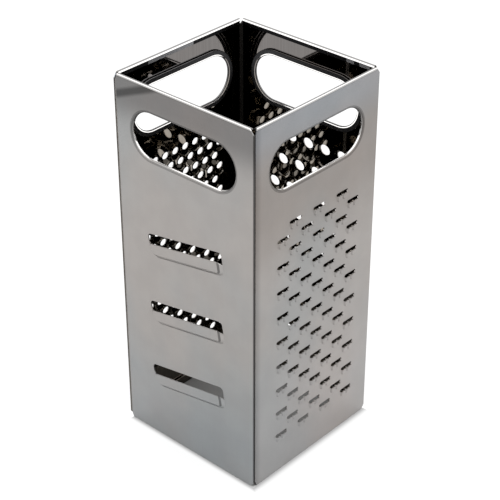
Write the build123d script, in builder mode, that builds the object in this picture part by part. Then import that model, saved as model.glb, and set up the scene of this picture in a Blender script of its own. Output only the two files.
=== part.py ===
from build123d import *
from math import ceil, floor, radians, tan
import os

# A four-sided kitchen grater that stands on its open bottom rim.
# Lengths are millimetres and angles are degrees. Z is up and the origin is the centre of the footprint.
# Each panel is one thin sheet. Shapes of a panel are drawn flat, with X along the panel, Y up and
# Z outwards from its outer face, and are then placed on the panel's own plane.

# Body
body_width = 101.0
body_height = 230.0
sheet = 0.6
cut_overrun = 4.0

# Corners: one end of every panel covers the next panel, whose own end stops short and leaves room for a seam
seam_gap = 1.0
seam_leg = 1.4
seam_recess = 0.4
edge_round = 0.4

# Rims: the sheet is folded inwards at the top and the bottom, and is cut back at the corners
hem_thickness = 2.0
top_hem_reach = 3.4
foot_hem_reach = 6.0
hem_mitre = 1.6
notch_width = 2.8
notch_height = 3.7

# Handle hole, whose edge is folded inwards like the rims
grip_drop = 30.0
grip_height = 27.5
grip_margin = 13.0
grip_reach = 3.5
grip_bend = 1.4
grip_lip_round = 0.5

# Slicer slots, each over a raised blade
slot_below_grip = 42.35
slot_pitch = 44.6
slot_foot = 40.0
slot_margin = 22.2
slot_gap = 5.3
slot_corner = 2.2
slot_tilt = 10.2
blade_depth = 8.9
blade_rise = 2.0
blade_foot_rise = 1.85
blade_flank_angle = 55.0
blade_left_corner = 7.0
blade_right_corner = 3.6
blade_notch_drop = 2.5

# Shredding slits, each over two small teeth
slit_below_grip = 21.85
slit_row_pitch = 8.13
slit_foot = 24.0
slit_pitch = 19.4
slit_margin = 17.0
slit_shift = 2.2
slit_length = 9.7
slit_height = 1.9
tip_spread = 4.6
tip_radius = 1.2
tip_reach = 0.45
tooth_width = 4.8
tooth_drop = 4.9
tooth_rise = 1.2

# Teeth pressed out under the slits and the round holes
flank_angle = 45.0
tooth_foot_share = 0.35

# Fine holes
fine_below_grip = 21.25
fine_row_pitch = 7.98
fine_foot = 29.0
fine_pitch = 8.13
fine_margin = 18.0
fine_shift = -2.4
fine_radius = 2.3
fine_rise = 0.9
fine_cup_width = 7.2
fine_cup_drop = 6.1

# Coarse holes
coarse_below_grip = 19.8
coarse_row_pitch = 16.85
coarse_foot = 28.0
coarse_pitch = 12.6
coarse_margin = 22.0
coarse_shift = -1.6
coarse_radius = 3.4
coarse_rise = 1.2
coarse_cup_width = 10.4
coarse_cup_drop = 11.4

# Sizes and places that follow from these
half_width = body_width / 2
panel_start = half_width - sheet - seam_gap
rim_half = half_width - notch_width
hem_radius = hem_thickness / 2
grip_centre = body_height - grip_drop
grip_bottom = grip_centre - grip_height / 2
grip_length = body_width - 2 * grip_margin
slot_length = body_width - 2 * slot_margin
blade_flank_reach = blade_rise * tan(radians(blade_flank_angle))
first_slot = grip_bottom - slot_below_grip

front = Plane(origin=(0, -half_width, 0), x_dir=(1, 0, 0), z_dir=(0, -1, 0))
right = Plane(origin=(half_width, 0, 0), x_dir=(0, 1, 0), z_dir=(1, 0, 0))
back = Plane(origin=(0, half_width, 0), x_dir=(-1, 0, 0), z_dir=(0, 1, 0))
left = Plane(origin=(-half_width, 0, 0), x_dir=(0, -1, 0), z_dir=(-1, 0, 0))


def staggered(pitch, row_pitch, top, foot, margin, shift):
    """Centres of a pattern, row by row from the top, with every other row moved by half a pitch."""
    rows = int((top - foot) / row_pitch) + 1
    reach = half_width - margin
    places = []
    for row in range(rows):
        offset = shift + (pitch / 2 if row % 2 else 0)
        columns = range(ceil((-reach - offset) / pitch), floor((reach - offset) / pitch) + 1)
        places += [(offset + pitch * column, top - row_pitch * row) for column in columns]
    return places


def rim_fold(reach):
    """A folded top rim: a half-round bend and a free leg that lies inside the sheet and ends at the reach."""
    with BuildPart() as fold:
        with BuildSketch(Plane.YZ.offset(-panel_start)):
            with Locations((body_height - hem_radius, -hem_radius)):
                Circle(hem_radius)
                Circle(hem_radius - sheet, mode=Mode.SUBTRACT)
                Rectangle(hem_thickness, hem_thickness, align=(Align.MAX, Align.CENTER), mode=Mode.SUBTRACT)
        extrude(amount=panel_start + half_width)
        with BuildSketch(Plane.XY.offset(-hem_thickness)):
            with BuildLine():
                Polyline(
                    (-rim_half, body_height - hem_radius),
                    (rim_half, body_height - hem_radius),
                    (rim_half - hem_mitre, body_height - reach),
                    (hem_mitre - rim_half, body_height - reach),
                    close=True,
                )
            make_face()
        extrude(amount=sheet)
        with BuildSketch(Plane.XY.offset(-hem_thickness)):
            with BuildLine():
                Polyline(
                    (rim_half, body_height),
                    (half_width, body_height - notch_height),
                    (half_width, body_height),
                    close=True,
                )
            make_face()
            with BuildLine():
                Polyline(
                    (-rim_half, body_height),
                    (-panel_start, body_height - notch_height),
                    (-panel_start, body_height),
                    close=True,
                )
            make_face()
        extrude(amount=hem_thickness, mode=Mode.SUBTRACT)
    return fold.part


def hemmed_sheet():
    """A panel before its cutting features: the sheet, its two folded rims and its folded handle hole."""
    bend_share = hem_radius / notch_height
    start_cut = -rim_half - (panel_start - rim_half) * bend_share
    end_cut = rim_half + notch_width * bend_share
    with BuildPart() as panel:
        with BuildSketch():
            with BuildLine():
                Polyline(
                    (start_cut, hem_radius),
                    (end_cut, hem_radius),
                    (half_width, notch_height),
                    (half_width, body_height - notch_height),
                    (end_cut, body_height - hem_radius),
                    (start_cut, body_height - hem_radius),
                    (-panel_start, body_height - notch_height),
                    (-panel_start, notch_height),
                    close=True,
                )
            make_face()
        extrude(amount=-sheet)
        add(rim_fold(top_hem_reach))
        add(rim_fold(foot_hem_reach).mirror(Plane.XZ.offset(-body_height / 2)))
        fillet(panel.faces().sort_by(Axis.Z)[-1].edges().filter_by(Axis.Y), edge_round)
        with BuildSketch():
            with Locations((0, grip_centre)):
                SlotOverall(grip_length + 2 * grip_reach, grip_height + 2 * grip_reach)
        extrude(amount=-hem_thickness)
        with BuildSketch(Plane.XY.offset(-sheet)):
            with Locations((0, grip_centre)):
                SlotOverall(grip_length + 2 * grip_reach, grip_height + 2 * grip_reach)
                SlotOverall(grip_length + 2 * grip_bend, grip_height + 2 * grip_bend, mode=Mode.SUBTRACT)
        extrude(amount=2 * sheet - hem_thickness, mode=Mode.SUBTRACT)
        with BuildSketch():
            with Locations((0, grip_centre)):
                SlotOverall(grip_length, grip_height)
        extrude(amount=-hem_thickness, mode=Mode.SUBTRACT)
        pierced = panel.faces().filter_by(lambda face: face.inner_wires()).sort_by(Axis.Z)
        fillet(pierced[0].inner_wires()[0].edges(), grip_lip_round)
        fillet(pierced[-1].inner_wires()[0].edges(), grip_bend)
    return panel.part


def blade_form():
    """A wedge that stands on the sheet, with sloping flanks and a face that rises to the cutting edge."""
    with BuildPart() as form:
        with BuildSketch():
            with BuildLine():
                lower = FilletPolyline(
                    (-slot_length / 2, 0),
                    (-slot_length / 2, -blade_depth),
                    (slot_length / 2, -blade_depth),
                    (slot_length / 2, 0),
                    radius=(blade_left_corner, blade_right_corner),
                )
                Polyline(
                    lower @ 1,
                    (slot_length / 2, slot_gap),
                    (-slot_length / 2, slot_gap),
                    lower @ 0,
                )
            make_face()
        extrude(amount=blade_rise, taper=blade_flank_angle)
        with BuildSketch(Plane.YZ.offset(-slot_length / 2)):
            with BuildLine():
                Polyline(
                    (-blade_depth, blade_foot_rise),
                    (0, blade_rise),
                    (0, 0),
                    (slot_gap, 0),
                    (slot_gap, 2 * blade_rise),
                    (-blade_depth, 2 * blade_rise),
                    close=True,
                )
            make_face()
        extrude(amount=slot_length, mode=Mode.SUBTRACT)
    return form.part


def slot_form():
    """The opening over a blade, with a small notch in the right flank beside the cutting edge."""
    with BuildPart() as form:
        with BuildSketch(Plane.XY.offset(-cut_overrun)) as opening:
            with Locations((0, slot_gap / 2)):
                Rectangle(slot_length, slot_gap)
            fillet(opening.vertices().group_by(Axis.Y)[-1], slot_corner)
            with BuildLine():
                Polyline(
                    (slot_length / 2 - blade_flank_reach, 0),
                    (slot_length / 2, 0),
                    (slot_length / 2, -blade_notch_drop),
                    close=True,
                )
            make_face()
        extrude(amount=2 * cut_overrun)
    return form.part


def tooth_form(width, drop, rise, meeting, crest):
    """A tooth that stands on the sheet under a hole. Its rim leaves the sheet at the height called meeting
    and is highest at the crest, and its back falls from there to its foot."""
    with BuildPart() as form:
        with BuildSketch():
            with Locations((0, width / 4 - drop / 2)):
                SlotCenterToCenter(drop - width / 2, width, rotation=90)
        extrude(amount=rise, taper=flank_angle)
        with BuildSketch(Plane.YZ.offset(-width)):
            with BuildLine():
                Polyline(
                    (width, 0),
                    (meeting, 0),
                    (crest, rise),
                    (-drop, rise * tooth_foot_share),
                    (-drop, 2 * rise),
                    (width, 2 * rise),
                    close=True,
                )
            make_face()
        extrude(amount=2 * width, mode=Mode.SUBTRACT)
    return form.part


def round_form(radius):
    """The opening of a round hole."""
    with BuildPart() as form:
        with BuildSketch(Plane.XY.offset(-cut_overrun)):
            Circle(radius)
        extrude(amount=2 * cut_overrun)
    return form.part


def slit_teeth():
    """The two teeth under a slit, cut off square where they face it."""
    cut_line = tip_reach - slit_height / 2
    tooth = tooth_form(tooth_width, tooth_drop, tooth_rise, cut_line, cut_line)
    with BuildPart() as teeth:
        with Locations((-tip_spread / 2, 0), (tip_spread / 2, 0)):
            add(tooth)
    return teeth.part


def slit_form():
    """The opening of a slit, whose lower edge has two rounded tips."""
    tip_centre = tip_reach - slit_height / 2 - tip_radius
    with BuildPart() as form:
        with BuildSketch(Plane.XY.offset(-cut_overrun)):
            SlotOverall(slit_length, slit_height)
            with Locations((-tip_spread / 2, tip_centre), (tip_spread / 2, tip_centre)):
                Circle(tip_radius, mode=Mode.SUBTRACT)
        extrude(amount=2 * cut_overrun)
    return form.part


def pressed(places, tooth, opening):
    """Raises the tooth at each place, hollows it from the inside and cuts the opening through."""
    with Locations(*places):
        add(tooth, clean=False)
    with Locations(*[(across, up, -sheet) for across, up in places]):
        add(tooth, mode=Mode.SUBTRACT, clean=False)
    with Locations(*places):
        add(opening, mode=Mode.SUBTRACT, clean=False)


os.makedirs("parts", exist_ok=True)
blank = hemmed_sheet()

# Slicer panel, with its slots and blades tilted
slot_count = int((first_slot - slot_foot) / slot_pitch) + 1
slot_places = [
    Location((0, first_slot - slot_gap - slot_pitch * row, 0), (0, 0, slot_tilt))
    for row in range(slot_count)
]
blade = blade_form()
slot = slot_form()
with BuildPart(front) as slicer_panel:
    add(blank)
    with Locations(*slot_places):
        add(blade, clean=False)
    with Locations(*[place * Location((0, 0, -sheet)) for place in slot_places]):
        add(blade, mode=Mode.SUBTRACT, clean=False)
    with Locations(*slot_places):
        add(slot, mode=Mode.SUBTRACT, clean=False)
slicer_panel.part.label = "slicer_panel"
export_step(slicer_panel.part, "parts/slicer_panel.step")

# Shredder panel, with its rows of toothed slits
slit_top = grip_bottom - slit_below_grip
slit_places = staggered(slit_pitch, slit_row_pitch, slit_top, slit_foot, slit_margin, slit_shift)
with BuildPart(right) as shredder_panel:
    add(blank)
    pressed(slit_places, slit_teeth(), slit_form())
shredder_panel.part.label = "shredder_panel"
export_step(shredder_panel.part, "parts/shredder_panel.step")

# Coarse panel
coarse_top = grip_bottom - coarse_below_grip
coarse_places = staggered(
    coarse_pitch, coarse_row_pitch, coarse_top, coarse_foot, coarse_margin, coarse_shift
)
coarse_tooth = tooth_form(coarse_cup_width, coarse_cup_drop, coarse_rise, coarse_radius, -coarse_radius)
with BuildPart(back) as coarse_panel:
    add(blank)
    pressed(coarse_places, coarse_tooth, round_form(coarse_radius))
coarse_panel.part.label = "coarse_panel"
export_step(coarse_panel.part, "parts/coarse_panel.step")

# Fine panel
fine_top = grip_bottom - fine_below_grip
fine_places = staggered(fine_pitch, fine_row_pitch, fine_top, fine_foot, fine_margin, fine_shift)
fine_tooth = tooth_form(fine_cup_width, fine_cup_drop, fine_rise, fine_radius, -fine_radius)
with BuildPart(left) as fine_panel:
    add(blank)
    pressed(fine_places, fine_tooth, round_form(fine_radius))
fine_panel.part.label = "fine_panel"
export_step(fine_panel.part, "parts/fine_panel.step")

# Corner seams: a bead that lies a little below the outer face in the gap beside a covering end, and has a
# flat fillet inside
seams = {
    "near_corner_seam": Plane.XY.offset(notch_height),
    "right_corner_seam": Plane.XY.offset(notch_height).rotated((0, 0, 90)),
    "far_corner_seam": Plane.XY.offset(notch_height).rotated((0, 0, 180)),
    "left_corner_seam": Plane.XY.offset(notch_height).rotated((0, 0, 270)),
}
for name, base in seams.items():
    with BuildPart() as seam:
        with BuildSketch(base):
            with BuildLine():
                Polyline(
                    (half_width - seam_recess, sheet - half_width),
                    (half_width - seam_recess, -panel_start),
                    (half_width - sheet, -panel_start),
                    (half_width - sheet, sheet + seam_leg - half_width),
                    (half_width - sheet - seam_leg, sheet - half_width),
                    close=True,
                )
            make_face()
        extrude(amount=body_height - 2 * notch_height)
    seam.part.label = name
    export_step(seam.part, f"parts/{name}.step")
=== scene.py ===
"""A four-sided kitchen grater of stainless sheet, dressed on its fixed frame over a pale floor.

Lengths are metres, Z is up, and the origin is the centre of the grater's footprint.
"""
import logging
import math
from dataclasses import dataclass, field
from enum import Enum

import bpy
from mathutils import Matrix, Vector

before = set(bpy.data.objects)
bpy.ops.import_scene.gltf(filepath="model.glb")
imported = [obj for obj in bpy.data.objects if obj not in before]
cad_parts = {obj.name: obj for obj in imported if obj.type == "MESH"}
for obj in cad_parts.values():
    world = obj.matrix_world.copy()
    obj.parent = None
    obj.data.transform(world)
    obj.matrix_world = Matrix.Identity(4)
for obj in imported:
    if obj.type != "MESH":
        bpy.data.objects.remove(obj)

log = logging.getLogger("grater")

MM = 0.001
UP = Vector((0.0, 0.0, 1.0))
WHITE = (1.0, 1.0, 1.0)
NOISE_MIDDLE = 0.5
Colour = tuple[float, float, float]
Waves = tuple[float, float, float]
Span = tuple[float, float]
Socket = bpy.types.NodeSocket


class Side(Enum):
    """The four sides of the grater, each with the direction its outer face looks in."""

    SLICER = (0.0, -1.0, 0.0)
    SHREDDER = (1.0, 0.0, 0.0)
    COARSE = (0.0, 1.0, 0.0)
    FINE = (-1.0, 0.0, 0.0)

    @property
    def outward(self) -> Vector:
        """The unit vector out of this side."""
        return Vector(self.value)

    @property
    def along(self) -> Vector:
        """The unit vector along this side, to the right as seen from outside."""
        return UP.cross(self.outward)


class Graph:
    """A small writer of shader nodes for one material or world."""

    def __init__(self, tree: bpy.types.NodeTree) -> None:
        """Empties a node tree, to fill it anew."""
        self.tree = tree
        tree.nodes.clear()

    def node(self, kind: str, **settings: object) -> bpy.types.Node:
        """Adds a node.

        Args:
            kind: The node's type name.
            **settings: Attributes to set on it.

        Returns:
            The new node.
        """
        made = self.tree.nodes.new(kind)
        for name, value in settings.items():
            setattr(made, name, value)
        return made

    def feed(self, socket: Socket, value: object) -> None:
        """Links a socket to an output, or sets its default.

        Args:
            socket: The input to feed.
            value: An output socket, a number, a colour or a vector.
        """
        if isinstance(value, bpy.types.NodeSocket):
            self.tree.links.new(value, socket)
        elif socket.type == "RGBA":
            socket.default_value = (*value, 1.0)
        else:
            socket.default_value = value

    def maths(self, operation: str, *values: object) -> Socket:
        """Adds a sum on numbers.

        Args:
            operation: The operation's name.
            *values: Its inputs, as outputs or numbers.

        Returns:
            The answer's output.
        """
        made = self.node("ShaderNodeMath", operation=operation)
        for socket, value in zip(made.inputs, values):
            self.feed(socket, value)
        return made.outputs[0]

    def plus(self, first: object, second: object) -> Socket:
        """Adds two numbers."""
        return self.maths("ADD", first, second)

    def minus(self, first: object, second: object) -> Socket:
        """Takes the second number from the first."""
        return self.maths("SUBTRACT", first, second)

    def times(self, first: object, second: object) -> Socket:
        """Multiplies two numbers."""
        return self.maths("MULTIPLY", first, second)

    def largest(self, *values: object) -> Socket:
        """Finds the largest of two or more numbers.

        Args:
            *values: The numbers, as outputs or plain numbers.

        Returns:
            The largest number's output.
        """
        largest = values[0]
        for value in values[1:]:
            largest = self.maths("MAXIMUM", largest, value)
        return largest

    def vector(self, operation: str, *values: object) -> Socket:
        """Adds a sum on vectors that gives a vector.

        Args:
            operation: The operation's name.
            *values: Its inputs, as outputs or vectors.

        Returns:
            The answer's output.
        """
        made = self.node("ShaderNodeVectorMath", operation=operation)
        for socket, value in zip(made.inputs, values):
            self.feed(socket, value)
        return made.outputs[0]

    def scaled(self, vector: object, factor: object) -> Socket:
        """Scales a vector or a colour by a number.

        Args:
            vector: An output, a vector or a colour.
            factor: A number or its output.

        Returns:
            The scaled vector's output.
        """
        made = self.node("ShaderNodeVectorMath", operation="SCALE")
        self.feed(made.inputs[0], vector)
        self.feed(made.inputs["Scale"], factor)
        return made.outputs[0]

    def dot(self, vector: Socket, direction: Vector) -> Socket:
        """Adds the dot product of an output with a fixed direction.

        Args:
            vector: The output to project.
            direction: The fixed direction.

        Returns:
            The product's output.
        """
        made = self.node("ShaderNodeVectorMath", operation="DOT_PRODUCT")
        self.feed(made.inputs[0], vector)
        made.inputs[1].default_value = direction
        return made.outputs["Value"]

    def ramp(
        self, value: object, low: float, high: float, start: object = 0.0, end: object = 1.0
    ) -> Socket:
        """Maps a range to another with soft ends.

        Args:
            value: The number to map.
            low: Where the range starts.
            high: Where it ends.
            start: The answer at the start.
            end: The answer at the end.

        Returns:
            The mapped number's output.
        """
        made = self.node("ShaderNodeMapRange", interpolation_type="SMOOTHSTEP")
        given = {"Value": value, "From Min": low, "From Max": high, "To Min": start, "To Max": end}
        for name, part in given.items():
            self.feed(made.inputs[name], part)
        return made.outputs["Result"]

    def fade(self, value: object, low: float, high: float) -> Socket:
        """Falls softly from 1 to 0 over a range."""
        return self.ramp(value, low, high, 1.0, 0.0)

    def band(self, value: object, low: float, high: float, soft: float) -> Socket:
        """Gives 1 where a number lies in a range and 0 outside it, with ends that fade."""
        return self.times(self.ramp(value, low - soft, low), self.fade(value, high, high + soft))

    def swing(self, value: Socket, span: Span, depth: float) -> Socket:
        """Turns a span of noise into a factor that swings round 1."""
        return self.ramp(value, *span, 1.0 - depth, 1.0 + depth)

    def mix(self, share: object, first: object, second: object) -> Socket:
        """Mixes two colours, whose sockets come last on the mixing node.

        Args:
            share: How much of the second shows, from 0 to 1.
            first: A colour or an output.
            second: A colour or an output.

        Returns:
            The mixed colour's output.
        """
        made = self.node("ShaderNodeMix", data_type="RGBA")
        self.feed(made.inputs[0], share)
        self.feed(made.inputs[6], first)
        self.feed(made.inputs[7], second)
        return made.outputs[2]

    def blend(self, share: object, first: object, second: object) -> Socket:
        """Mixes two numbers, whose sockets come first on the mixing node.

        Args:
            share: How much of the second shows, from 0 to 1.
            first: A number or an output.
            second: A number or an output.

        Returns:
            The mixed number's output.
        """
        made = self.node("ShaderNodeMix", data_type="FLOAT")
        self.feed(made.inputs[0], share)
        self.feed(made.inputs[2], first)
        self.feed(made.inputs[3], second)
        return made.outputs[0]

    def noise(self, place: Socket, waves: Waves, detail: float) -> Socket:
        """Adds noise, stretched by a scale for each axis.

        Args:
            place: The point to read it at.
            waves: How many waves fit in a metre along X, Y and Z.
            detail: How many finer layers it has.

        Returns:
            The noise's number output.
        """
        scaled = self.node("ShaderNodeMapping")
        self.feed(scaled.inputs["Vector"], place)
        scaled.inputs["Scale"].default_value = waves
        made = self.node("ShaderNodeTexNoise")
        self.feed(made.inputs["Vector"], scaled.outputs[0])
        made.inputs["Scale"].default_value = 1.0
        made.inputs["Detail"].default_value = detail
        return made.outputs["Fac"]

    def steel(self, colour: Socket, roughness: Socket, normal: Socket | None = None) -> None:
        """Ends a material in bare metal.

        Args:
            colour: The metal's colour.
            roughness: Its roughness.
            normal: Its normal, where it isn't the surface's own.
        """
        shader = self.node("ShaderNodeBsdfPrincipled")
        shader.inputs["Metallic"].default_value = 1.0
        self.feed(shader.inputs["Base Color"], colour)
        self.feed(shader.inputs["Roughness"], roughness)
        if normal is not None:
            self.feed(shader.inputs["Normal"], normal)
        output = self.node("ShaderNodeOutputMaterial")
        self.feed(output.inputs["Surface"], shader.outputs[0])


def new_material(name: str) -> tuple[bpy.types.Material, Graph]:
    """Starts a material.

    Args:
        name: The material's name.

    Returns:
        The material, and the writer of its nodes.
    """
    made = bpy.data.materials.new(name)
    made.use_nodes = True
    return made, Graph(made.node_tree)


@dataclass(frozen=True)
class Satin:
    """The brushed outer face: two tones that drift over the sheet under a faint mottle, with fine
    upright brush lines."""

    light: Colour = (0.368, 0.346, 0.331)
    cool: Colour = (0.333, 0.336, 0.334)
    drift_waves: Waves = (14.0, 14.0, 9.0)
    drift_detail: float = 3.0
    drift_span: Span = (0.35, 0.65)
    mottle_waves: Waves = (60.0, 60.0, 60.0)
    mottle_detail: float = 4.0
    mottle_span: Span = (0.3, 0.7)
    mottle_depth: float = 0.03
    line_waves: Waves = (900.0, 900.0, 14.0)
    line_detail: float = 3.0
    line_height: float = 0.02 * MM
    line_depth: float = 0.05
    roughness: float = 0.36
    roughness_drift: float = 0.05


@dataclass(frozen=True)
class Polish:
    """The inner face, left as rolled: nearly a mirror with a faint grain, with painted shade up
    under the rim and wherever it curves."""

    colour: Colour = (0.30, 0.272, 0.235)
    # Painted shade up under the rim.
    upper: Colour = (0.19, 0.178, 0.172)
    rim_shade_start: float = 205.0 * MM
    rim_shade_full: float = 216.0 * MM
    grain_span: Span = (0.3, 0.7)
    grain_depth: float = 0.07
    # Painted shade where the face curves, none where it is flat.
    flat_cosine: float = 0.9995
    curved_cosine: float = 0.992
    curved_tone: float = 0.22
    roughness: float = 0.02


@dataclass(frozen=True)
class Fold:
    """A fold seen from inside the grater, painted dark as shade: a little paler on the handle
    hole's flange, and with painted pale reflections in stretches under the rim. Its shining line is
    a painted highlight whose normal leans up."""

    # Painted shade, paler painted shade on the flange, and painted pale reflections under the rim.
    dark: Colour = (0.012, 0.012, 0.013)
    dusk: Colour = (0.045, 0.045, 0.047)
    pale: Colour = (0.24, 0.242, 0.25)
    roughness: float = 0.4
    lean: float = 1.2


@dataclass(frozen=True)
class FoldHighlight:
    """The folded edges, painted bright as a highlight. The rim has a painted gray reflection strip
    beside its bright line.
    """

    colour: Colour = (0.5, 0.49, 0.48)
    roughness: float = 0.11
    edge_tone: float = 0.23
    edge_soft: float = 0.05
    near_edge: float = 0.48 * MM
    far_edge: float = 1.76 * MM


@dataclass(frozen=True)
class Veil:
    """A soft painted change of tone on a panel, standing in for shade and reflected light, from
    none at one height to all of it at another.
    """

    start: float
    full: float
    tint: Colour

    def share(self, graph: Graph, height: Socket) -> Socket:
        """Finds how much of the veil there is.

        Args:
            graph: The material's node writer.
            height: The height over the floor.

        Returns:
            An output that is 1 where all of the veil is and 0 where none is.
        """
        if self.full > self.start:
            return graph.ramp(height, self.start, self.full)
        return graph.fade(height, self.full, self.start)


@dataclass(frozen=True)
class PaintedReflection:
    """A painted dark reflection that slants over a panel under the rim."""

    across: float = -44.0 * MM
    height: float = 220.0 * MM
    slope: float = 0.42
    half_width: float = 0.9 * MM
    soft: float = 3.0 * MM
    end: float = -24.0 * MM
    fade: float = 20.0 * MM
    depth: float = 0.62

    def share(self, graph: Graph, across: Socket, height: Socket) -> Socket:
        """Finds where the painted dark reflection lies.

        Args:
            graph: The material's node writer.
            across: The place along the panel.
            height: The height over the floor.

        Returns:
            An output that is 1 in the painted dark reflection's middle and 0 outside it.
        """
        climb = graph.times(graph.minus(across, self.across), self.slope)
        off = graph.maths("ABSOLUTE", graph.minus(graph.minus(height, self.height), climb))
        middle = graph.fade(off, self.half_width, self.half_width + self.soft)
        return graph.times(middle, graph.fade(across, self.end, self.end + self.fade))


@dataclass
class Sheet:
    """Sizes that all four panels share. The foot and crest of what is pressed out are given as
    shares of its rise, and slopes as cosines."""

    body_width: float = 101.0 * MM
    body_height: float = 230.0 * MM
    inward_start: float = 0.05
    inward_full: float = 0.35
    rim_band: float = 1.08 * MM
    rim_soft: float = 0.16 * MM
    rim_inner_band: float = 1.12 * MM
    rim_crease: float = 1.6 * MM
    rim_crease_depth: float = 0.22
    leg_depth: float = 1.1 * MM
    leg_reach: float = 3.6 * MM
    grip_centre: float = 200.0 * MM
    grip_height: float = 27.5 * MM
    grip_length: float = 75.0 * MM
    grip_band: float = 0.1 * MM
    grip_soft: float = 0.16 * MM
    grip_crease: float = 1.35 * MM
    grip_crease_width: float = 0.2 * MM
    grip_crease_depth: float = 0.55
    grip_turn_depth: float = 0.55
    flange_reach: float = 3.8 * MM
    flange_dusk_end: float = 3.1 * MM
    flange_line_start: float = 0.5 * MM
    flange_line_end: float = 0.9 * MM
    press_rise: float = 2.0 * MM
    press_foot: Span = (0.1, 0.4)
    press_crest: Span = (0.6, 0.9)
    press_slope: Span = (0.2, 0.4)
    press_soft: float = 0.15 * MM
    press_end: float = 22.0 * MM
    press_fade: float = 4.0 * MM
    corner_round: float = 0.45 * MM
    corner_soft: float = 0.2
    start_shade: float = 5.0 * MM
    start_gap: float = 1.6 * MM

    @property
    def half_width(self) -> float:
        """Half of the body's width."""
        return self.body_width / 2


@dataclass
class Piece:
    """One solid of the grater, which keeps its shape and gets a material."""

    name: str

    def material(self) -> bpy.types.Material:
        """Builds the piece's material, which each kind of piece does in its own way."""
        raise NotImplementedError

    def dress(self) -> bpy.types.Object:
        """Puts the material on the piece.

        Returns:
            The piece's object.
        """
        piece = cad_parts[self.name]
        piece.data.materials.clear()
        piece.data.materials.append(self.material())
        return piece


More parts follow.
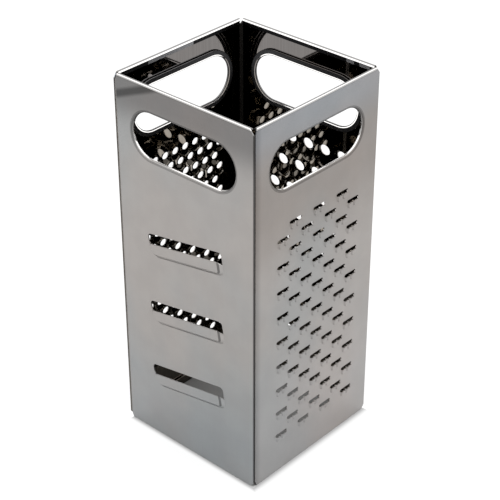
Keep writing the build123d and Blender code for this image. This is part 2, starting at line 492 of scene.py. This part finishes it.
@dataclass
class Panel(Piece):
    """One side of the grater: satin outside, polished inside and with a painted highlight along its
    folds.

    Each depth is the share of the light that a corner or a crease takes. The two sides behind show
    their inner faces in the photograph, and their rims are bright along the inner edge.
    """

    side: Side
    veils: tuple[Veil, ...] = ()
    painted_reflection: PaintedReflection | None = None
    leg_reflections: tuple[Span, ...] = ()
    corner_depth: float = 0.35
    start_depth: float = 0.0
    press_depth: float = 0.13
    press_fades: bool = False
    behind: bool = False
    sheet: Sheet = field(default_factory=Sheet)
    satin: Satin = field(default_factory=Satin)
    polish: Polish = field(default_factory=Polish)
    fold: Fold = field(default_factory=Fold)
    bright: FoldHighlight = field(default_factory=FoldHighlight)

    def grip_reach(self, graph: Graph, across: Socket, height: Socket) -> Socket:
        """Measures how far a point is outside the handle hole's outline.

        Args:
            graph: The material's node writer.
            across: The place along the panel.
            height: The height over the floor.

        Returns:
            The distance's output.
        """
        sheet = self.sheet
        radius = sheet.grip_height / 2
        straight = sheet.grip_length / 2 - radius
        past = graph.largest(graph.minus(graph.maths("ABSOLUTE", across), straight), 0.0)
        rise = graph.minus(height, sheet.grip_centre)
        square = graph.plus(graph.times(past, past), graph.times(rise, rise))
        return graph.minus(graph.maths("SQRT", square), radius)

    def press_share(self, graph: Graph, normal: Socket, across: Socket, depth: Socket) -> Socket:
        """Finds the creases of what is pressed out of the sheet: its foot at the left and below,
        and its crest at the right.

        Args:
            graph: The material's node writer.
            normal: The surface's normal.
            across: The place along the panel.
            depth: The depth into the sheet, less than zero where it is pressed out.

        Returns:
            An output that is 1 in a crease and 0 outside it.
        """
        sheet = self.sheet
        rise = graph.times(depth, -1.0)
        foot, crest = (
            graph.band(rise, low * sheet.press_rise, high * sheet.press_rise, sheet.press_soft)
            for low, high in (sheet.press_foot, sheet.press_crest)
        )
        right, left, below = (
            graph.ramp(graph.dot(normal, direction), *sheet.press_slope)
            for direction in (self.side.along, -self.side.along, -UP)
        )
        if self.press_fades:
            end = graph.fade(across, sheet.press_end, sheet.press_end + sheet.press_fade)
            below = graph.times(below, end)
        lower = graph.times(foot, graph.largest(left, below))
        return graph.largest(lower, graph.times(crest, right))

    def light_left(
        self, graph: Graph, across: Socket, height: Socket, reach: Socket, pressed: Socket
    ) -> Socket:
        """Works out how much light the painted shade of the creases and the corners and the painted
        dark reflection leave on the outer face.

        Args:
            graph: The material's node writer.
            across: The place along the panel.
            height: The height over the floor.
            reach: The distance from the handle hole.
            pressed: Where the creases of the blades or teeth are.

        Returns:
            A factor's output, 1 on the open sheet.
        """
        sheet = self.sheet
        from_top = graph.minus(sheet.body_height, height)
        rim_start = sheet.rim_band + sheet.rim_soft
        rim = graph.band(from_top, rim_start, sheet.rim_crease, sheet.rim_soft)
        crease_end = sheet.grip_crease + sheet.grip_crease_width
        grip = graph.band(reach, sheet.grip_crease, crease_end, sheet.grip_soft)
        turn_end = sheet.grip_crease - 2 * sheet.grip_soft
        turn = graph.band(reach, 0.0, turn_end, sheet.grip_soft)
        from_end = graph.minus(sheet.half_width, across)
        corner_start = (1.0 - sheet.corner_soft) * sheet.corner_round
        corner_end = (1.0 + sheet.corner_soft) * sheet.corner_round
        corner = graph.fade(from_end, corner_start, corner_end)
        from_start = graph.plus(across, sheet.half_width - sheet.start_gap)
        start = graph.fade(from_start, 0.0, sheet.start_shade)
        # Painted shade in the creases of the rim, the handle hole and the pressed blades and teeth,
        # at the corners, and by the shredder's starting edge.
        shares = [
            (rim, sheet.rim_crease_depth),
            (grip, sheet.grip_crease_depth),
            (turn, sheet.grip_turn_depth),
            (corner, self.corner_depth),
            (start, self.start_depth),
            (pressed, self.press_depth),
        ]
        if self.painted_reflection:
            shares.append((self.painted_reflection.share(graph, across, height), self.painted_reflection.depth))
        left = 1.0
        for share, depth in shares:
            left = graph.times(left, graph.minus(1.0, graph.times(share, depth)))
        return left

    def outer_colour(self, graph: Graph, place: Socket, height: Socket) -> Socket:
        """Builds the satin's colour, with its drift, its mottle and its veils of painted shade and
        reflected light.

        Args:
            graph: The material's node writer.
            place: The point on the object.
            height: The height over the floor.

        Returns:
            The colour's output.
        """
        satin = self.satin
        drift = graph.noise(place, satin.drift_waves, satin.drift_detail)
        colour = graph.mix(graph.ramp(drift, *satin.drift_span), satin.light, satin.cool)
        mottle = graph.noise(place, satin.mottle_waves, satin.mottle_detail)
        colour = graph.scaled(colour, graph.swing(mottle, satin.mottle_span, satin.mottle_depth))
        # Painted shade and reflected light by height.
        for veil in self.veils:
            tint = graph.mix(veil.share(graph, height), WHITE, veil.tint)
            colour = graph.vector("MULTIPLY", colour, tint)
        return colour

    def inner_colour(self, graph: Graph, facing: Socket, height: Socket, lines: Socket) -> Socket:
        """Builds the polish's colour, with its grain and its painted shade under the rim and where
        it curves.

        Args:
            graph: The material's node writer.
            facing: The cosine of the normal to the panel's outward direction.
            height: The height over the floor.
            lines: The noise of the brush lines.

        Returns:
            The colour's output.
        """
        polish = self.polish
        # Painted shade up under the rim, and where the face curves.
        upper = graph.ramp(height, polish.rim_shade_start, polish.rim_shade_full)
        colour = graph.mix(upper, polish.colour, polish.upper)
        flat, curved = -polish.flat_cosine, -polish.curved_cosine
        colour = graph.scaled(colour, graph.ramp(facing, flat, curved, 1.0, polish.curved_tone))
        return graph.scaled(colour, graph.swing(lines, polish.grain_span, polish.grain_depth))

    def inner_fold(
        self, graph: Graph, across: Socket, depth: Socket, height: Socket, reach: Socket
    ) -> tuple[Socket, Socket, Socket]:
        """Works out the painted shade, the painted pale reflections and the painted shining line on
        the inner side of the folds at the rim and round the handle hole.

        Args:
            graph: The material's node writer.
            across: The place along the panel.
            depth: The depth into the sheet.
            height: The height over the floor.
            reach: The distance from the handle hole.

        Returns:
            The outputs of where the folds are, of their painted colour, and of where the painted
            highlight shines.
        """
        sheet, fold = self.sheet, self.fold
        deep = graph.maths("GREATER_THAN", depth, sheet.leg_depth)
        leg = graph.maths("GREATER_THAN", height, sheet.body_height - sheet.leg_reach)
        flange = graph.maths("LESS_THAN", reach, sheet.flange_reach)
        # Paler painted shade on the flange, and painted pale reflections in stretches along the
        # leg.
        dusk = graph.band(reach, sheet.flange_line_end, sheet.flange_dusk_end, sheet.grip_soft)
        colour = graph.mix(dusk, fold.dark, fold.dusk)
        for low, high in self.leg_reflections:
            patch = graph.times(leg, graph.band(across, low, high, sheet.grip_soft))
            colour = graph.mix(patch, colour, fold.pale)
        line = graph.band(reach, sheet.flange_line_start, sheet.flange_line_end, sheet.grip_soft)
        return graph.times(deep, graph.largest(leg, flange)), colour, line

    def highlight_colour(self, graph: Graph, rim: Socket, depth: Socket) -> Socket:
        """Builds the painted highlight of the folds, with the rim's painted gray reflection strip.

        Args:
            graph: The material's node writer.
            rim: Where the rim is.
            depth: The depth into the sheet.

        Returns:
            The colour's output.
        """
        bright = self.bright
        edge = bright.far_edge if self.behind else bright.near_edge
        tones = (bright.edge_tone, 1.0) if self.behind else (1.0, bright.edge_tone)
        low, high = (1.0 - bright.edge_soft) * edge, (1.0 + bright.edge_soft) * edge
        tone = graph.ramp(depth, low, high, *tones)
        if not self.behind:
            tone = graph.blend(rim, 1.0, tone)
        return graph.scaled(bright.colour, tone)

    def roughness(
        self, graph: Graph, lines: Socket, inside: Socket, folded: Socket, fold: Socket
    ) -> Socket:
        """Builds the roughness of all the finishes.

        Args:
            graph: The material's node writer.
            lines: The noise of the brush lines.
            inside: Where the inner face is.
            folded: Where the inner side of the folds is.
            fold: Where the bright folds are.

        Returns:
            The roughness's output.
        """
        satin = self.satin
        drift = graph.times(graph.minus(lines, NOISE_MIDDLE), 2 * satin.roughness_drift)
        outer = graph.plus(satin.roughness, drift)
        inner = graph.blend(folded, self.polish.roughness, self.fold.roughness)
        return graph.blend(fold, graph.blend(inside, outer, inner), self.bright.roughness)

    def normal(self, graph: Graph, lines: Socket, inside: Socket, shiny: Socket) -> Socket:
        """Builds the normal: brush lines outside, and a lean upwards where an inner fold is rounder
        than its solid.

        Args:
            graph: The material's node writer.
            lines: The noise of the brush lines.
            inside: Where the inner face is.
            shiny: Where the inner folds shine.

        Returns:
            The normal's output.
        """
        bump = graph.node("ShaderNodeBump")
        bump.inputs["Distance"].default_value = self.satin.line_height
        graph.feed(bump.inputs["Height"], lines)
        graph.feed(bump.inputs["Strength"], graph.blend(inside, self.satin.line_depth, 0.0))
        lean = graph.scaled(UP, graph.times(shiny, self.fold.lean))
        return graph.vector("NORMALIZE", graph.vector("ADD", bump.outputs[0], lean))

    def material(self) -> bpy.types.Material:
        """Builds this panel's material.

        Returns:
            The material, with the outer, inner and folded finishes in it.
        """
        made, graph = new_material(f"{self.name}_steel")
        sheet, satin = self.sheet, self.satin
        place = graph.node("ShaderNodeTexCoord").outputs["Object"]
        normal = graph.node("ShaderNodeNewGeometry").outputs["Normal"]
        facing = graph.dot(normal, self.side.outward)
        inside = graph.fade(facing, -sheet.inward_full, -sheet.inward_start)
        height, across = graph.dot(place, UP), graph.dot(place, self.side.along)
        depth = graph.minus(sheet.half_width, graph.dot(place, self.side.outward))
        reach = self.grip_reach(graph, across, height)
        lines = graph.noise(place, satin.line_waves, satin.line_detail)

        # Where the folds get the painted highlight: the rim and the handle hole's lip outside, the
        # flange's line inside, and on the sides behind also the rim's inner edge.
        rim_start = sheet.body_height - sheet.rim_band
        rim = graph.ramp(height, rim_start - sheet.rim_soft, rim_start)
        grip = graph.fade(reach, sheet.grip_band, sheet.grip_band + sheet.grip_soft)
        outer_grip = graph.times(grip, graph.minus(1.0, inside))
        folded, fold_colour, line = self.inner_fold(graph, across, depth, height, reach)
        shiny = graph.times(line, graph.times(inside, folded))
        if self.behind:
            inner_start = sheet.body_height - sheet.rim_inner_band
            inner_rim = graph.ramp(height, inner_start - sheet.rim_soft, inner_start)
            shiny = graph.largest(shiny, graph.times(inner_rim, inside))
        fold = graph.largest(rim, outer_grip, shiny)

        pressed = self.press_share(graph, normal, across, depth)
        light = self.light_left(graph, across, height, reach, pressed)
        outer = graph.scaled(self.outer_colour(graph, place, height), light)
        polished = self.inner_colour(graph, facing, height, lines)
        inner = graph.mix(folded, polished, fold_colour)
        bright = self.highlight_colour(graph, rim, depth)
        graph.steel(
            graph.mix(fold, graph.mix(inside, outer, inner), bright),
            self.roughness(graph, lines, inside, folded, fold),
            self.normal(graph, lines, inside, shiny),
        )
        return made


@dataclass
class Seam(Piece):
    """A joint down one corner, where the weld is dull and painted dark as the shade in its groove,
    with a paler ripple.
    """

    # Painted shade of the corner groove.
    colour: Colour = (0.012, 0.011, 0.010)
    roughness: float = 0.45
    ripple_waves: Waves = (600.0, 600.0, 500.0)
    ripple_detail: float = 2.0
    ripple_span: Span = (0.2, 0.8)
    ripple_tone: float = 1.6
    ripple_roughness: float = 0.15

    def material(self) -> bpy.types.Material:
        """Builds the seam's material.

        Returns:
            The material.
        """
        made, graph = new_material(f"{self.name}_weld")
        place = graph.node("ShaderNodeTexCoord").outputs["Object"]
        ripple = graph.noise(place, self.ripple_waves, self.ripple_detail)
        paler = tuple(self.ripple_tone * part for part in self.colour)
        rougher = self.roughness + self.ripple_roughness
        graph.steel(
            graph.mix(ripple, self.colour, paler),
            graph.ramp(ripple, *self.ripple_span, self.roughness, rougher),
        )
        return made


@dataclass
class PhotoCamera:
    """The camera at the photograph's viewing angle."""

    azimuth: float = 42.23
    elevation: float = 31.77
    roll: float = -0.035
    distance: float = 859.9 * MM
    target: Vector = field(default_factory=lambda: Vector((2.079 * MM, 0.0, 117.32 * MM)))
    focal_pixels: float = 1504.0
    frame_pixels: float = 500.0
    sensor: float = 36.0
    clip_factor: float = 100.0

    def place(self) -> bpy.types.Object:
        """Makes the camera and hands it to the scene.

        Returns:
            The camera object.
        """
        turn, lift, tilt = (math.radians(a) for a in (self.azimuth, self.elevation, self.roll))
        flat = math.cos(lift)
        back = Vector((math.sin(turn) * flat, -math.cos(turn) * flat, math.sin(lift)))
        level = Vector((math.cos(turn), math.sin(turn), 0.0))
        upright = back.cross(level)
        right = math.cos(tilt) * level + math.sin(tilt) * upright
        up = math.cos(tilt) * upright - math.sin(tilt) * level
        data = bpy.data.cameras.new("camera")
        data.sensor_width = self.sensor
        data.lens = self.sensor * self.focal_pixels / self.frame_pixels
        data.clip_start = self.distance / self.clip_factor
        data.clip_end = self.distance * self.clip_factor
        camera = bpy.data.objects.new("camera", data)
        turned = Matrix((right, up, back)).transposed().to_4x4()
        camera.matrix_world = Matrix.Translation(self.target + back * self.distance) @ turned
        bpy.context.scene.collection.objects.link(camera)
        bpy.context.scene.camera = camera
        return camera


@dataclass
class Studio:
    """A pale floor that burns out to white but for a thin painted contact shadow, under a soft sky
    that is brightest overhead."""

    floor_size: float = 16.0
    footprint: float = 101.0 * MM
    paper_roughness: float = 0.9
    shown_albedo: float = 0.12
    inner_albedo: float = 0.25
    open_albedo: float = 0.42
    shaded_albedo: float = 0.12
    edge_soft: float = 0.5 * MM
    rim_contact: float = 1.0 * MM
    glow: float = 0.8
    glow_start: float = -1.8 * MM
    glow_full: float = 3.1 * MM
    glow_side_share: float = 0.72
    glow_behind: float = 5.0
    left_gap: float = 2.0 * MM
    horizon: float = 1.1
    zenith: float = 2.8
    horizon_end: float = 0.12
    zenith_start: float = 0.5

    def paper(self) -> bpy.types.Material:
        """Builds the floor's material: what the camera sees burns out to white, with a thin painted
        contact shadow round the grater, and what the steel reflects is a pale floor with painted
        shade under the grater.

        Returns:
            The material.
        """
        made, graph = new_material("floor_paper")
        place = graph.node("ShaderNodeTexCoord").outputs["Object"]
        front, right, rear, left = (
            graph.minus(graph.dot(place, side.outward), self.footprint / 2) for side in Side
        )
        near = graph.largest(right, front, left, rear)
        # Painted contact shadow: the glow fades in near the front and right sides, and at once
        # behind the left and rear ones.
        behind = graph.largest(graph.plus(left, self.left_gap), rear)
        behind = graph.plus(graph.times(behind, self.glow_behind), self.glow_full)
        beside = graph.largest(graph.times(right, self.glow_side_share), front)
        clear = graph.largest(beside, behind)

        shown = graph.node("ShaderNodeBsdfPrincipled")
        edge = (-self.edge_soft, self.edge_soft)
        albedo = graph.ramp(near, *edge, self.inner_albedo, self.shown_albedo)
        graph.feed(shown.inputs["Base Color"], graph.scaled(WHITE, albedo))
        shown.inputs["Roughness"].default_value = self.paper_roughness
        shown.inputs["Specular IOR Level"].default_value = 0.0
        shown.inputs["Emission Color"].default_value = (*WHITE, 1.0)
        outside = graph.ramp(near, -self.rim_contact - self.edge_soft, -self.rim_contact)
        glow = graph.ramp(clear, self.glow_start, self.glow_full, 0.0, self.glow)
        graph.feed(shown.inputs["Emission Strength"], graph.times(glow, outside))

        # Painted shade: in reflections the floor under the grater is darker.
        reflected = graph.node("ShaderNodeBsdfDiffuse")
        albedo = graph.ramp(near, *edge, self.shaded_albedo, self.open_albedo)
        graph.feed(reflected.inputs["Color"], graph.scaled(WHITE, albedo))

        choice = graph.node("ShaderNodeMixShader")
        graph.feed(choice.inputs[0], graph.node("ShaderNodeLightPath").outputs["Is Camera Ray"])
        graph.feed(choice.inputs[1], reflected.outputs[0])
        graph.feed(choice.inputs[2], shown.outputs[0])
        output = graph.node("ShaderNodeOutputMaterial")
        graph.feed(output.inputs["Surface"], choice.outputs[0])
        return made

    def floor(self) -> bpy.types.Object:
        """Makes the floor.

        Returns:
            The floor object.
        """
        half = self.floor_size / 2
        mesh = bpy.data.meshes.new("floor")
        corners = [(-half, -half, 0.0), (half, -half, 0.0), (half, half, 0.0), (-half, half, 0.0)]
        mesh.from_pydata(corners, [], [(0, 1, 2, 3)])
        piece = bpy.data.objects.new("floor", mesh)
        bpy.context.scene.collection.objects.link(piece)
        mesh.materials.append(self.paper())
        return piece

    def sky(self) -> bpy.types.World:
        """Makes the soft light all round, brightest overhead.

        Returns:
            The world.
        """
        world = bpy.data.worlds.new("studio_sky")
        bpy.context.scene.world = world
        world.use_nodes = True
        graph = Graph(world.node_tree)
        direction = graph.node("ShaderNodeTexCoord").outputs["Generated"]
        climb = graph.dot(direction, UP)
        strength = graph.ramp(climb, self.horizon_end, self.zenith_start, self.horizon, self.zenith)
        shader = graph.node("ShaderNodeBackground")
        shader.inputs["Color"].default_value = (*WHITE, 1.0)
        graph.feed(shader.inputs["Strength"], strength)
        output = graph.node("ShaderNodeOutputWorld")
        graph.feed(output.inputs["Surface"], shader.outputs[0])
        return world

    def set_up(self) -> None:
        """Builds the studio and sets plain colour management."""
        self.floor()
        self.sky()
        view = bpy.context.scene.view_settings
        view.view_transform = "Standard"
        view.look = "None"
        view.exposure = 0.0
        view.gamma = 1.0


def panels() -> list[Panel]:
    """Lists the four sides with the painted shade and reflected light that each one takes by
    height.

    Returns:
        The panels.
    """
    # Painted tones by height: painted shade darkening the top, a cooler painted reflection at the
    # foot, warmer painted shade on the upper part, a bluish painted reflection at the top, and
    # painted light at the shredder's foot.
    dusk = Veil(196.0 * MM, 220.0 * MM, (0.56, 0.55, 0.55))
    cool_foot = Veil(75.0 * MM, 15.0 * MM, (0.96, 1.0, 1.035))
    warm_upper = Veil(125.0 * MM, 182.0 * MM, (0.80, 0.765, 0.74))
    blue_top = Veil(200.0 * MM, 224.0 * MM, (1.02, 1.11, 1.22))
    bright_foot = Veil(115.0 * MM, 15.0 * MM, (1.15, 1.14, 1.15))
    # Stretches of each leg that carry a painted pale reflection.
    fine_leg_reflection = ((-9.0 * MM, 26.0 * MM),)
    coarse_leg_reflections = ((-34.0 * MM, -29.0 * MM), (-45.0 * MM, -38.0 * MM))
    return [
        Panel(
            "slicer_panel",
            Side.SLICER,
            veils=(dusk, cool_foot),
            painted_reflection=PaintedReflection(),
            corner_depth=0.7,
            press_depth=0.6,
            press_fades=True,
        ),
        Panel(
            "shredder_panel",
            Side.SHREDDER,
            veils=(warm_upper, blue_top, bright_foot),
            start_depth=0.3,
        ),
        Panel(
            "coarse_panel",
            Side.COARSE,
            veils=(dusk, cool_foot),
            leg_reflections=coarse_leg_reflections,
            behind=True,
        ),
        Panel(
            "fine_panel",
            Side.FINE,
            veils=(warm_upper, blue_top),
            leg_reflections=fine_leg_reflection,
            behind=True,
        ),
    ]


def seams() -> list[Seam]:
    """Lists the four corner joints, of which the left one is painted with paler shade."""
    dark = [Seam(f"{corner}_corner_seam") for corner in ("near", "right", "far")]
    return [*dark, Seam("left_corner_seam", colour=(0.22, 0.21, 0.20))]


def main() -> None:
    """Builds the grater's dress and the studio, in order."""
    logging.basicConfig(level=logging.INFO, format="%(name)s: %(message)s")
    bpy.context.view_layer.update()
    for part in (*panels(), *seams()):
        piece = part.dress()
        log.info("%s dressed, %d faces", piece.name, len(piece.data.polygons))
    Studio().set_up()
    PhotoCamera().place()


if __name__ == "__main__":
    main()
